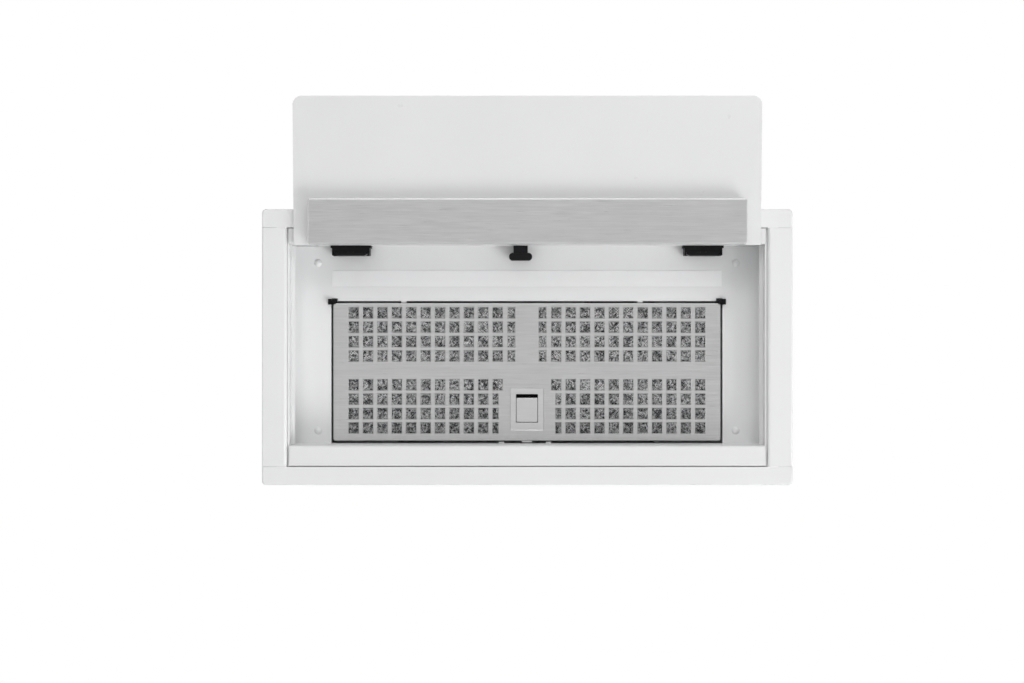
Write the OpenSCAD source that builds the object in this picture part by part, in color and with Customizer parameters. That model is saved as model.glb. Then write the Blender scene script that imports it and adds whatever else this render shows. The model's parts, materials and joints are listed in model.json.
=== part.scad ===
// Integrated range hood seen from below, with a slide-out visor.
// Front is -Y, +Z is up. The origin is the centre of the cabinet cut-out,
// in the plane where the trim frame seats under the cabinet board.

/* [Trim frame] */
// Width of the trim frame, left to right
frame_w = 598; // [590:1:660]
// Depth of the trim frame, front to back
frame_d = 311; // [308:1:340]
// Height of the frame below the cabinet board
frame_h = 8; // [7:0.5:12]
// Width of the front and rear rails
rail_w = 20.6; // [17:0.2:24]
// Width of the side bands
side_w = 28.4; // [24:0.2:32]
// Sheet thickness of the frame
frame_t = 1.2; // [0.8:0.1:1.6]
// Width of the top edge that seats under the board
seat_w = 9; // [6:0.5:12]
// Radius of the frame's outer corners
frame_r = 4.5; // [3:0.5:8]
// Radius of the frame's outer lower edges
frame_e = 2; // [1.7:0.1:2.4]
// Radius of the side bands' inner lower edges
band_e = 4; // [2.5:0.5:5]
// Open joint between a rail and a side band
joint_gap = 0.3; // [0.2:0.1:0.6]

/* [Inner tray] */
// Gap between the lower casing and the tray
tray_gap = 0.3; // [0.3:0.1:0.8]
// Sheet thickness of the tray
tray_t = 1; // [0.8:0.1:1.2]
// Height of the tray's flanges above the frame's lower face
flange_lift = 1; // [0.5:0.1:1.5]
// Depth of the front flange
front_flange = 17.5; // [16.5:0.1:19]
// Depth of the rear flange
rear_flange = 22.7; // [20:0.1:26]
// Depth of the recess, from the frame's lower face to the baseplate
recess_h = 45; // [43:1:50]
// Bend radius where a flange turns into the recess
bend_r = 2.5; // [1.5:0.1:3.5]
// Distance of the tray screws from the recess side
screw_side = 25.2; // [21:0.1:30]
// Distance of the front tray screws from the recess front wall
screw_front = 19.1; // [16:0.1:24]
// Distance of the rear tray screws from the recess rear wall
screw_rear = 14.7; // [12:0.1:20]
// Head radius of the tray screws
screw_head_r = 4.6; // [3.8:0.1:5.5]

/* [Visor] */
// Length of the visor panel, front to back
visor_l = 167.6; // [150:0.2:180]
// Travel of the visor from out to closed
visor_travel = 127; // [100:1:130]
// Distance of the visor's sides from the recess side
visor_side = 3.4; // [3:0.1:6]
// Extra half width of the visor at its front edge
visor_flare = 1.4; // [0:0.1:2]
// Height of the visor's folded edge
visor_h = 5; // [4:0.1:8]
// Thickness of the visor's skin
visor_t = 1.5; // [1:0.1:2]
// Corner radius at the visor's front
visor_r = 10; // [5:0.5:15]
// Gap between the visor and the frame's lower face
visor_drop = 0.3; // [0.3:0.1:1.5]
// Distance of the grip strip's ends from the visor's sides
grip_inset = 17.5; // [10:0.5:40]
// Depth of the grip strip, front to back
grip_d = 50.8; // [35:0.2:60]
// Height of the grip strip
grip_h = 16; // [10:0.5:22]
// Sheet thickness of the grip strip
grip_t = 1; // [0.8:0.1:1.5]
// Length of the runners in the guides
runner_l = 80; // [50:1:90]
// Thickness of the runners
runner_t = 1.2; // [1:0.1:1.2]

/* [Guides] */
// Width of a guide, across its open side
guide_w = 2.5; // [2.5:0.1:3]
// Height of the guides above the tray's flanges
guide_lift = 17; // [14:0.5:18]
// Inner height of a guide
guide_h = 12; // [9:0.5:14]
// Wall of a guide
guide_t = 0.8; // [0.6:0.1:1]

/* [Lamp] */
// Distance of the light diffuser's ends from the recess side
lamp_side = 41.4; // [37:0.1:62]
// Depth of the light diffuser
lamp_d = 18.2; // [14:0.2:20]
// Distance of the diffuser from the recess front wall
lamp_front = 28.1; // [26:0.1:30]
// Height of the lamp housing above the baseplate
lamp_h = 12; // [10:0.5:18]

/* [Controls] */
// Width of a rocker switch
switch_w = 46.2; // [38:0.2:50]
// Height of a rocker switch
switch_h = 18; // [15:0.5:18]
// Height of the switch's lower edge above the frame's lower face
switch_z = 25; // [24:0.5:26]
// How far a rocker stands out from the recess front wall
rocker_out = 11.8; // [10:0.2:13]
// Largest tilt of a rocker, each way
rocker_tilt = 3.5; // [2:0.5:3.5]
// Place of the speed knob left of the middle
knob_x = 7.4; // [5:0.1:10]
// Width of the speed knob's cross bar
knob_w = 26.5; // [20:0.1:32]
// Depth of the speed knob's cross bar
knob_d = 8.7; // [7:0.1:10]
// Width of the speed knob's stem
stem_w = 16.3; // [12:0.1:18]

/* [Filter] */
// Distance of the filter from the recess side
filter_side = 42.8; // [41.5:0.1:52]
// Depth of the filter, front to back
filter_d = 158.4; // [154:0.2:160]
// Height of the filter
filter_h = 9; // [8:0.5:12]
// How far the filter stands below the baseplate
filter_proud = 2.5; // [1.5:0.1:3]
// Sheet thickness of the filter plate
filter_t = 0.8; // [0.6:0.1:1]
// Corner radius of the filter
filter_r = 2.5; // [2:0.1:4]
// Gap between the filter and its opening at the sides and front
filter_gap = 2.5; // [2:0.1:3]
// Gap between the filter and the recess rear wall
filter_rear = 3; // [2.5:0.1:4]
// Spacing of the square holes
hole_pitch = 16.6; // [14:0.1:18]
// Width of a square hole
hole_w = 11.1; // [8:0.1:12]
// Depth of a square hole
hole_d = 12.1; // [8:0.1:12.5]
// Distance from the filter's front edge to the first row's middle
hole_front = 11; // [9:0.1:14]
// Distance from the middle to the first full column
hole_side = 33.8; // [32:0.1:36]

/* [Filter latch] */
// Width of the latch frame
latch_w = 38.5; // [34:0.1:42]
// Length of the latch frame
latch_l = 48.6; // [44:0.1:52]
// Distance from the latch frame to the filter's rear edge
latch_rear = 12; // [9:0.1:15]
// Width of the latch button
button_w = 24.4; // [18:0.1:26]
// Length of the latch button
button_l = 28.2; // [24:0.1:30]
// Travel of the latch button
button_travel = 3.6; // [2.5:0.1:3.7]

/* [Casing] */
// Height of the lower casing above the seat plane
low_h = 95; // [90:1:120]
// Sheet thickness of the casings
case_t = 1; // [0.8:0.1:1.2]
// Half width of the upper casing
up_w = 161; // [158:1:180]
// Half depth of the upper casing
up_d = 128; // [126:1:130]
// Thickness of the cabinet board that the hood hangs in
board_t = 18; // [16:1:22]
// Distance of the cabinet screws from the lower casing's side
cab_out = 13.4; // [10:0.1:15]
// Half the spacing of the cabinet screws, front to back
cab_y = 90; // [60:1:100]
// Radius of the cabinet screw holes
cab_r = 2.5; // [2:0.1:3]

/* [Blower] */
// Height of the fan's axis above the seat plane
fan_z = 158; // [156:1:165]
// Fan axis in front of the middle
fan_y = -35; // [-36:1:-30]
// Radius of the impeller
fan_r = 65; // [55:1:66]
// Half width of the impeller
fan_half = 60; // [45:1:61]
// Number of impeller blades
blade_n = 36; // [24:1:40]
// Smallest radius of the blower housing
scroll_r0 = 74; // [73:1:76]
// Largest radius of the blower housing
scroll_r1 = 104; // [96:1:106]
// Half width of the blower housing
scroll_half = 66; // [65:1:70]
// Wall of the blower housing
scroll_t = 2; // [1.5:0.1:2.5]
// Height of the blower housing above the fan's axis
scroll_top = 106; // [100:1:112]
// Radius of the air inlets
inlet_r = 50; // [42:1:51]
// Radius of the motor
motor_r = 43; // [36:1:44]
// Length of the motor
motor_l = 52; // [44:1:60]
// Radius of the motor shaft
shaft_r = 4; // [3:0.1:5]

/* [Duct collar] */
// Outer radius of the duct collar
duct_r = 59.5; // [58:0.1:62]
// Wall of the duct collar
duct_t = 1.5; // [1.2:0.1:2]
// Height of the duct collar
duct_h = 42; // [36:1:60]
// Height of the damper pins above the collar's foot
damper_z = 14; // [10:1:18]

/* [Connection box] */
// Length of the terminal box, front to back
box_l = 110; // [90:1:130]
// Width of the terminal box
box_w = 46; // [40:1:60]
// Height of the terminal box
box_h = 46; // [40:1:60]
// Radius of the cable hole
cable_r = 4; // [3:0.1:5]

/* [Hidden] */
$fn = 48;

// Clearances that several pieces share
fit = 0.3;
pin_fit = 0.06;
shaft_fit = 0.01;

// Frame and tray, all from the outer size of the frame
bottom_z = -frame_h;
tray_w = frame_w - 2 * (side_w + case_t + tray_gap);
tray_d = frame_d - 2 * (rail_w + case_t + tray_gap);
flange_z = bottom_z + flange_lift;
plate_z = bottom_z + recess_h;
plate_top = plate_z + tray_t;
front_y = -tray_d / 2 + front_flange;
rear_y = tray_d / 2 - rear_flange;
side_x = tray_w / 2 - tray_t - guide_w;
edge_upturn = 12;
upstand_h = 12;
screw_x = side_x - screw_side;
screw_ys = [front_y + screw_front, rear_y - screw_rear];
screw_r = 2;
tray_screw_l = 14;
lip_out = case_t + tray_gap - fit;

// Visor
visor_top = bottom_z - visor_drop;
visor_z = visor_top - visor_h;
visor_half = side_x - visor_side;
arm_t = 1;
visor_rear_y = front_y + fit + arm_t;
visor_front_y = visor_rear_y - visor_l;
foot_in = 24;
foot_l = 18;
foot_t = 1.2;
grip_half = visor_half - grip_inset;
grip_y = visor_rear_y - 0.4;
grip_r = grip_t + 1;
grip_e = grip_t + 0.4;

// Guides
guide_z = flange_z + guide_lift;
runner_z = guide_z + guide_t + fit;
runner_h = guide_h - 2 * fit;
runner_x = tray_w / 2 - tray_t - guide_t - fit - runner_t;
guide_stop_y = visor_rear_y - arm_t + runner_l + visor_travel + fit;

// Lamp and controls
lamp_w = 2 * (side_x - lamp_side);
lamp_y0 = front_y + lamp_front;
lamp_y = lamp_y0 + lamp_d / 2;
lamp_lip = 3;
lamp_flange_t = 1.5;
switch_x = lamp_w / 2 - switch_w / 2;
sw_z = bottom_z + switch_z;
bezel_t = 2.9;
shroud_out = 7.5;
shroud_in = 1.6;
shroud_t = 1.5;
shroud_half = switch_w / 2 - shroud_in - shroud_t;
pivot_out = 4.2;
pivot_r = 1.5;
hub_r = 2.5;
switch_floor = 1.2;
rocker_half = shroud_half - 0.8;
knob_stem_l = 8;
knob_neck = 5;

// Filter
filter_w = 2 * (side_x - filter_side);
filter_y1 = rear_y - filter_rear;
filter_y0 = filter_y1 - filter_d;
filter_z = plate_z - filter_proud;
open_half = filter_w / 2 + filter_gap;
open_y0 = filter_y0 - filter_gap;
collar_h = 9;
lug_in = 3;
lug_w = 4.8;
lug_x0 = filter_w / 2 - lug_in;
lug_x1 = lug_x0 + lug_w;
lug_r = 2.6;
hinge_y = filter_y0 - 1.7;
hinge_z = filter_z + 0.7;
hinge_pin_r = 1.5;
hook_x0 = lug_x1 + 0.4;
hook_w = 3.7;
mesh_t = 1;
band_w = 4;
row_n = 9;
blank_row = 4;
narrow_w = 8.2;
narrow_x = 18;

// Latch
latch_y1 = filter_y1 - latch_rear;
latch_y0 = latch_y1 - latch_l;
latch_margin = 7;
button_y0 = latch_y0 + latch_margin + button_travel + 0.4;
button_y1 = button_y0 + button_l;
bolt_half = 6;
bolt_z0 = filter_z + 2.6;
bolt_z1 = bolt_z0 + 3;
spring_r = 1.5;
spring_wire = 0.3;
spring_z = filter_z + 3.4;

// Casings
low_x = frame_w / 2 - side_w;
low_y = frame_d / 2 - rail_w;
low_z = 1;
well_x = up_w - 10;
well_y = up_d - 10;
top_z = fan_z + scroll_top;
lid_lip = 12;
bracket_w = 30;
bracket_t = 2;
bracket_top = board_t + 42;
post_r = 6;
outlet_y0 = scroll_r0 * cos(60);
outlet_y = fan_y + (outlet_y0 + scroll_r1) / 2;
duct_foot = 68;
duct_foot_t = 2;
duct_in = duct_r - duct_t;
duct_z = top_z + case_t;
damper_y = 3.6;
flap_t = 1.2;
ledge_in = 3;
ledge_h = 2;
ledge_z = damper_z - flap_t / 2 - fit - ledge_h;
damper_pin_r = 1.5;
sleeve_r = 2.9;

// Motor
bracket_x = scroll_half + 9;
motor_x = bracket_x + 2;
bush_ring = inlet_r + 12;
bush_r = 7;
bush_angles = [90, 210, 330];

// Connection box
box_x1 = -up_w;
box_x0 = box_x1 - box_w;
box_z = low_h;
box_t = 2;
box_y0 = -60;

white = "#e6e8ea";
steel = "#a9abac";
zinc = "#b9bec2";
black = "#1d1e20";

// A box between two corners
module block(lo, hi) {
  translate(lo) cube(hi - lo);
}

// The same piece on the left and on the right
module both_sides() {
  children();
  mirror([1, 0, 0]) children();
}

// An upright plate with round corners, centred, standing on z = 0
module rounded_block(w, d, h, r) {
  linear_extrude(h) {
    square([w - 2 * r, d], center = true);
    square([w, d - 2 * r], center = true);
    for (x = [-1, 1], y = [-1, 1])
      translate([x * (w / 2 - r), y * (d / 2 - r)]) circle(r);
  }
}

// Outline of a plate's section, with lower corners of radius e, standing on y = 0
module soft_section(w, h, e) {
  translate([-w / 2, e]) square([w, h - e]);
  translate([-w / 2 + e, 0]) square([w - 2 * e, h]);
  for (x = [-1, 1]) translate([x * (w / 2 - e), e]) circle(e);
}

// A plate with corners of radius r and lower edges of radius e, centred, standing on z = 0
module soft_plate(w, d, h, r, e) {
  x = w / 2 - r;
  y = d / 2 - r;
  rotate([90, 0, 0]) translate([0, 0, -y]) linear_extrude(2 * y) soft_section(w, h, e);
  rotate([90, 0, 90]) translate([0, 0, -x]) linear_extrude(2 * x) soft_section(d, h, e);
  for (a = [-1, 1], b = [-1, 1]) translate([a * x, b * y, 0]) rotate_extrude() intersection() {
    soft_section(2 * r, h, e);
    square([r + 1, h + 1]);
  }
}

// Turns an outline drawn in Y and Z into a bar along +X
module along_x(length) {
  rotate([90, 0, 90]) linear_extrude(length) children();
}

// A cylinder along +X from the plane x = x0
module rod_x(x0, length, r) {
  translate([x0, 0, 0]) rotate([0, 90, 0]) cylinder(h = length, r = r);
}

// A pan-head screw, head down, with its seat at z = 0
module screw_down(head_r, head_h, length, r = screw_r) {
  translate([0, 0, -head_h]) cylinder(h = head_h, r1 = head_r * 0.7, r2 = head_r);
  cylinder(h = length, r = r);
}

// A pan-head screw, head up, with its seat at z = 0
module screw_up(head_r, head_h, length, r = screw_r) {
  mirror([0, 0, 1]) screw_down(head_r, head_h, length, r);
}

// Trim frame: one hollow rim, parted into rails and bands
module frame_rim() {
  difference() {
    translate([0, 0, bottom_z]) soft_plate(frame_w, frame_d, frame_h, frame_r, frame_e);
    translate([0, 0, bottom_z + frame_t])
      soft_plate(frame_w - 2 * frame_t, frame_d - 2 * frame_t, frame_h - 2 * frame_t,
                 frame_r - frame_t, frame_e - frame_t);
    translate([0, 0, -frame_t - 1]) rounded_block(frame_w - 2 * seat_w, frame_d - 2 * seat_w, frame_h, 1);
    rim_opening();
  }
  difference() {
    translate([0, 0, bottom_z + frame_t]) linear_extrude(frame_h - frame_t + upstand_h)
      square([2 * (low_x + frame_t), 2 * (low_y + frame_t)], center = true);
    rim_opening();
    at_frame_screws() rod_x(-1, frame_t + 2, screw_r + pin_fit);
  }
}

module rim_opening() {
  translate([0, 0, bottom_z - 1])
    linear_extrude(frame_h + upstand_h + 2) square([2 * low_x, 2 * low_y], center = true);
}

module front_rail_space() {
  block([-frame_w, -frame_d, bottom_z - 1], [frame_w, -frame_d / 2 + rail_w, upstand_h + 1]);
}

module trim_front_rail() {
  color(white) intersection() {
    frame_rim();
    front_rail_space();
  }
}

module trim_rear_rail() {
  color(white) intersection() {
    frame_rim();
    mirror([0, 1, 0]) front_rail_space();
  }
}

module trim_band(side) {
  band_y = frame_d / 2 - rail_w - joint_gap;
  color(white) mirror([side < 0 ? 1 : 0, 0, 0]) difference() {
    union() {
      intersection() {
        frame_rim();
        block([0, -band_y, bottom_z - 1], [frame_w, band_y, upstand_h + 1]);
      }
      block([low_x, -band_y, bottom_z], [low_x + band_e, band_y, bottom_z + band_e]);
    }
    translate([low_x, band_y + 1, bottom_z]) rotate([90, 0, 0])
      linear_extrude(2 * band_y + 2) difference() {
        translate([-1, -1]) square(band_e + 1);
        translate([band_e, band_e]) circle(band_e);
      }
  }
}

// Flat angle plates that tie rails and bands together inside the rim
module frame_corner_plates() {
  x1 = frame_w / 2 - frame_t - 2;
  y1 = frame_d / 2 - frame_t - 2;
  leg = 13;
  plate_t = 1.5;
  color(zinc) both_sides() for (m = [0, 1]) mirror([0, m, 0]) translate([0, 0, bottom_z + frame_t]) {
    block([x1 - 40, y1 - leg, 0], [x1, y1, plate_t]);
    block([x1 - leg, y1 - 46, 0], [x1, y1 - leg, plate_t]);
  }
}

// Screws that tie the frame's upstand to the lower casing
frame_screw_ys = [-frame_d / 5.2, frame_d / 5.2];
frame_screw_xs = [-frame_w * 0.3, frame_w * 0.3];
frame_screw_z = 7;
frame_screw_l = frame_t + case_t;

// Puts children at each of those screws, running out along +X from the casing's face
module at_frame_screws() {
  both_sides() for (y = frame_screw_ys) translate([low_x, y, frame_screw_z]) children();
  for (m = [0, 1], x = frame_screw_xs)
    mirror([0, m, 0]) translate([x, low_y, frame_screw_z]) rotate(90) children();
}

module frame_screws() {
  color(zinc) at_frame_screws() translate([frame_t, 0, 0]) rotate([0, 90, 0]) screw_up(3.6, 2, frame_screw_l);
}

// Tray: pressed sheet with a recess, two flanges, a lip that closes the gap to the frame, and an opening
module flange_profile(depth) {
  wall_h = plate_top - flange_z;
  translate([bend_r, 0]) square([depth - bend_r, tray_t]);
  translate([0, bend_r]) square([tray_t, wall_h - bend_r]);
  translate([depth - tray_t, 0]) square([tray_t, edge_upturn]);
  intersection() {
    translate([bend_r, bend_r]) difference() {
      circle(bend_r);
      circle(bend_r - tray_t);
    }
    square(bend_r);
  }
}

// Places of the small stops in the gap round the filter
front_stops = [-141.7, 130.4];
rear_stops = [-29.3, 24.9];
stop_w = 6;
stop_l = 1.8;

module tray_sheet() {
  wall_x = tray_w / 2 - tray_t;
  translate([-wall_x, rear_y, flange_z]) along_x(2 * wall_x) flange_profile(rear_flange);
  mirror([0, 1, 0]) translate([-wall_x, -front_y, flange_z])
    along_x(2 * wall_x) flange_profile(front_flange);
  block([-wall_x, front_y, plate_z], [wall_x, rear_y, plate_top]);
  both_sides() block([wall_x, -tray_d / 2, flange_z + 3], [tray_w / 2, tray_d / 2, plate_top]);
  translate([0, 0, flange_z + 3]) linear_extrude(tray_t) difference() {
    square([tray_w + 2 * lip_out, tray_d + 2 * lip_out], center = true);
    square([tray_w - 2 * tray_t, tray_d - 2 * tray_t], center = true);
  }
  both_sides() block([open_half, open_y0 + 8, plate_z], [open_half + tray_t, rear_y, plate_z + collar_h]);
  block([-lug_x0 + 2, open_y0 - tray_t, plate_z], [lug_x0 - 2, open_y0, plate_z + collar_h]);
  block([-open_half - tray_t, rear_y, plate_z], [open_half + tray_t, rear_y + tray_t, plate_z + collar_h]);
}

module filter_hole() {
  block([-open_half, open_y0, plate_z - 1], [open_half, rear_y, plate_top + collar_h]);
  both_sides() block([lug_x0 - 2, hinge_y - 4, plate_z - 1], [hook_x0, open_y0 + 8, plate_top + collar_h]);
}

module inner_tray() {
  color(white) {
    difference() {
      tray_sheet();
      filter_hole();
      block([-lamp_w / 2 - pin_fit, lamp_y0 - pin_fit, plate_z - 1],
            [lamp_w / 2 + pin_fit, lamp_y0 + lamp_d + pin_fit, plate_top + 1]);
      for (x = [-screw_x, screw_x], y = screw_ys)
        translate([x, y, plate_z - 1]) cylinder(h = tray_t + 2, r = screw_r + pin_fit);
      both_sides() block([switch_x - switch_w / 2 + 4, front_y - 3, sw_z + 2],
                         [switch_x + switch_w / 2 - 4, front_y + 1, sw_z + switch_h - 2]);
      block([-knob_x - knob_neck - 0.5, front_y - 3, sw_z + 5],
            [knob_x + knob_neck + 0.5, front_y + 1, sw_z + 13]);
      block([-bolt_half - 2, rear_y - 1, bolt_z0 - 1], [bolt_half + 2, rear_y + 3, bolt_z1 + 1]);
    }
    for (x = front_stops)
      block([x - stop_w / 2, open_y0 - tray_t, plate_z], [x + stop_w / 2, open_y0 + stop_l, plate_top]);
    for (x = rear_stops)
      block([x - stop_w / 2, rear_y - stop_l, plate_z], [x + stop_w / 2, rear_y + tray_t, plate_top]);
  }
}

// Domed screws that hold the tray against the posts of the casing
module tray_screws() {
  color(white) for (x = [-screw_x, screw_x], y = screw_ys) translate([x, y, plate_z]) {
    intersection() {
      translate([0, 0, 3]) sphere(r = sqrt(screw_head_r * screw_head_r + 9), $fn = 64);
      translate([0, 0, -3]) cylinder(h = 3, r = screw_head_r);
    }
    cylinder(h = tray_screw_l, r = screw_r);
  }
}

// C-shaped guides for the visor's runners, open towards the middle, with a wider lower wall and a stop at the rear
guide_stop_l = 3;
guide_lip = 1.9;

module guide(side) {
  x1 = tray_w / 2 - tray_t;
  color(white) mirror([side < 0 ? 1 : 0, 0, 0]) {
    block([x1 - guide_t, front_y + fit, guide_z], [x1, rear_y - fit, guide_z + guide_h + 2 * guide_t]);
    block([side_x, front_y + fit, guide_z + guide_h + guide_t],
          [x1, rear_y - fit, guide_z + guide_h + 2 * guide_t]);
    block([side_x - guide_lip, front_y + fit, guide_z], [x1, rear_y - fit, guide_z + guide_t]);
    block([side_x, guide_stop_y, guide_z], [x1, guide_stop_y + guide_stop_l, guide_z + guide_h + guide_t]);
  }
}

// Visor: a shallow folded panel, wider at its front edge
module visor_outline(inset) {
  r = visor_r - inset;
  x0 = visor_half - inset;
  x1 = visor_half + visor_flare - inset;
  y0 = visor_front_y + inset;
  y1 = visor_rear_y - inset;
  polygon([[-x0, y1], [x0, y1], [x1, y0 + r], [x1 - r, y0 + r], [x1 - r, y0], [-x1 + r, y0],
           [-x1 + r, y0 + r], [-x1, y0 + r]]);
  for (x = [-x1 + r, x1 - r]) translate([x, y0 + r]) circle(r);
}

visor_ribs = [0.28, 0.52, 0.76];
rib_xs = [-120, 0, 120];

module visor_panel() {
  color(white) difference() {
    union() {
      translate([0, 0, visor_z]) linear_extrude(visor_h) difference() {
        visor_outline(0);
        visor_outline(visor_t);
      }
      translate([0, 0, visor_z]) linear_extrude(visor_t) visor_outline(0);
      for (k = visor_ribs) {
        y = visor_front_y + k * visor_l;
        if (y < grip_y - grip_d || y > grip_y)
          block([-visor_half + 1, y - 0.8, visor_z + 1], [visor_half - 1, y + 0.8, visor_top - 0.5]);
      }
      for (x = rib_xs) block([x - 0.8, visor_front_y + 1, visor_z + 1],
                             [x + 0.8, grip_y - grip_d, visor_top - 0.5]);
    }
    both_sides() block([visor_half - foot_in - 1, visor_rear_y - visor_t - 1, visor_z + visor_t],
                       [visor_half + 5, visor_rear_y + 1, visor_top + 1]);
    both_sides() block([visor_half - 2, visor_rear_y - foot_l, visor_z + visor_t],
                       [visor_half + 5, visor_rear_y + 1, visor_top + 1]);
    at_visor_screws() translate([0, 0, visor_z - 1]) cylinder(h = visor_t + 2, r = grip_screw_r + pin_fit);
    both_sides() at_foot_rivets() translate([0, 0, visor_z - 1]) cylinder(h = visor_t + 2, r = foot_rivet_r);
  }
}

foot_rivets = [6, 13];
foot_rivet_r = 1;
foot_rivet_in = 21;

// Puts children at the rivets that hold an arm's foot to the panel's right-hand rear corner
module at_foot_rivets() {
  for (y = foot_rivets) translate([visor_half - foot_rivet_in, visor_rear_y - y, 0]) children();
}

grip_screws = [-0.9, -0.45, 0, 0.45, 0.9];
grip_screw_r = 1.5;

module at_visor_screws() {
  for (k = grip_screws) translate([k * grip_half, grip_y - grip_d / 2, 0]) children();
}

// Stainless channel under the visor's rear edge, used to pull the visor
module visor_grip() {
  tab = 14;
  color(steel) difference() {
    union() {
      difference() {
        translate([0, grip_y - grip_d / 2, visor_z - grip_h])
          soft_plate(2 * grip_half, grip_d, grip_h, grip_r, grip_e);
        translate([0, grip_y - grip_d / 2, visor_z - grip_h + grip_t])
          soft_plate(2 * (grip_half - grip_t), grip_d - 2 * grip_t, grip_h, grip_r - grip_t, grip_e - grip_t);
      }
      at_visor_screws() block([-tab / 2, -grip_d / 2 + grip_t / 2, visor_z - grip_t],
                              [tab / 2, grip_d / 2 - grip_t / 2, visor_z]);
    }
    at_visor_screws() translate([0, 0, visor_z - 3]) cylinder(h = 4, r = grip_screw_r + pin_fit);
  }
}

module visor_screws() {
  color(zinc) {
    at_visor_screws() translate([0, 0, visor_z + visor_t])
      screw_up(3, 1.6, visor_t + grip_t + 1, grip_screw_r);
    both_sides() at_foot_rivets() translate([0, 0, visor_z + visor_t + foot_t])
      screw_up(2.2, 1.4, 1.6, foot_rivet_r - pin_fit);
  }
}

// Runner, bent tab and foot that carry one rear corner of the visor
module visor_arm(side) {
  tab_x0 = visor_half - foot_in;
  y1 = visor_rear_y;
  y0 = y1 - arm_t;
  foot_z = visor_z + visor_t;
  color(zinc) mirror([side < 0 ? 1 : 0, 0, 0]) difference() {
    union() {
      block([runner_x, y0, runner_z], [runner_x + runner_t, y0 + runner_l, runner_z + runner_h]);
      block([tab_x0, y0, foot_z], [visor_half - 0.5, y1, runner_z + runner_h]);
      block([visor_half - 2, y0, runner_z], [runner_x + 0.5, y1, runner_z + runner_h]);
      block([tab_x0, y1 - foot_l, foot_z], [visor_half - 3, y1, foot_z + foot_t]);
    }
    at_foot_rivets() translate([0, 0, foot_z - 1]) cylinder(h = foot_t + 2, r = foot_rivet_r);
  }
}

// Lamp: diffuser in its window, board with light chips, and the housing
module lamp_diffuser() {
  color("#f4f6f8") {
    block([-lamp_w / 2, lamp_y0, plate_z - 0.4], [lamp_w / 2, lamp_y0 + lamp_d, plate_top]);
    block([-lamp_w / 2 - lamp_lip, lamp_y0 - lamp_lip, plate_top],
          [lamp_w / 2 + lamp_lip, lamp_y0 + lamp_d + lamp_lip, plate_top + lamp_flange_t]);
  }
}

chip_pitch = 18;
chip_end = 8;
chip_n = floor((lamp_w - 2 * chip_end) / chip_pitch);

module led_board() {
  z1 = plate_z + lamp_h - 1.2;
  color("#dfe6dc") block([-lamp_w / 2 + 4, lamp_y - 6, z1 - 1.6], [lamp_w / 2 - 4, lamp_y + 6, z1]);
  color("#f3e27a") for (i = [0:chip_n - 1]) {
    x = (i - (chip_n - 1) / 2) * chip_pitch;
    block([x - 1.5, lamp_y - 1.5, z1 - 2.6], [x + 1.5, lamp_y + 1.5, z1 - 1.6]);
  }
}

module lamp_housing() {
  half = lamp_w / 2 + lamp_lip + 2;
  wall = lamp_d / 2 + lamp_lip + fit;
  color(zinc) difference() {
    block([-half, lamp_y - wall - 1, plate_top], [half, lamp_y + wall + 1, plate_z + lamp_h]);
    block([-half + 1, lamp_y - wall, plate_top - 1], [half - 1, lamp_y + wall, plate_z + lamp_h - 1.2]);
  }
}

// Rocker switch case: bezel on the recess front wall, rear body, and a shroud with a shorter lower wall
module switch_case(x) {
  half = switch_w / 2;
  z1 = sw_z + switch_h;
  back_y = front_y - 12;
  pivot_y = front_y + pivot_out;
  color(black) translate([x, 0, 0]) {
    difference() {
      union() {
        block([-half, front_y, sw_z], [half, front_y + bezel_t, z1]);
        block([-half + shroud_in, front_y, sw_z], [half - shroud_in, front_y + rocker_out - 0.4, z1]);
        block([-half + 4.4, back_y, sw_z + 2.4], [half - 4.4, front_y, z1 - 2.4]);
      }
      block([-shroud_half, front_y + switch_floor, sw_z + shroud_t],
            [shroud_half, front_y + rocker_out + 1, z1 - shroud_t]);
      block([-shroud_half, front_y + shroud_out, sw_z - 1],
            [shroud_half, front_y + rocker_out + 1, z1 - shroud_t]);
      block([-half + 6, back_y + 1.5, sw_z + 4], [half - 6, front_y + switch_floor + 1, z1 - 4]);
    }
    translate([0, pivot_y, sw_z + 1]) cylinder(h = switch_h - 2, r = pivot_r);
  }
}

// Rocker with sloping ends, on an upright pin
module switch_rocker(x) {
  z0 = sw_z + shroud_t + fit;
  z1 = sw_z + switch_h - shroud_t - fit;
  pivot_y = front_y + pivot_out;
  y0 = rocker_half * sin(rocker_tilt) + 2.2;
  y1 = rocker_out - pivot_out;
  color("#26272a") translate([x, pivot_y, 0]) difference() {
    translate([0, 0, z0]) linear_extrude(z1 - z0) {
      polygon([[-rocker_half, y0], [rocker_half, y0], [rocker_half, y0 + 2],
               [rocker_half - 4, y1], [-rocker_half + 4, y1], [-rocker_half, y0 + 2]]);
      translate([-hub_r, 0]) square([2 * hub_r, y0 + 1]);
      circle(hub_r);
    }
    translate([0, 0, z0 - 1]) cylinder(h = z1 - z0 + 2, r = pivot_r + pin_fit);
  }
}

// Slide switch behind the recess front wall, and its T-shaped knob
knob_z0 = sw_z + 5.5;
knob_neck_h = 7;

module speed_switch_case() {
  half = knob_x + knob_neck + 14;
  back_y = front_y - tray_t - 13;
  color("#3a3c40") difference() {
    block([-half, back_y, sw_z], [half, front_y - tray_t, sw_z + switch_h]);
    block([-knob_x - knob_neck - 4, back_y + 1.5, sw_z + 2],
          [knob_x + knob_neck + 4, front_y, sw_z + switch_h - 2]);
  }
}

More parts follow.
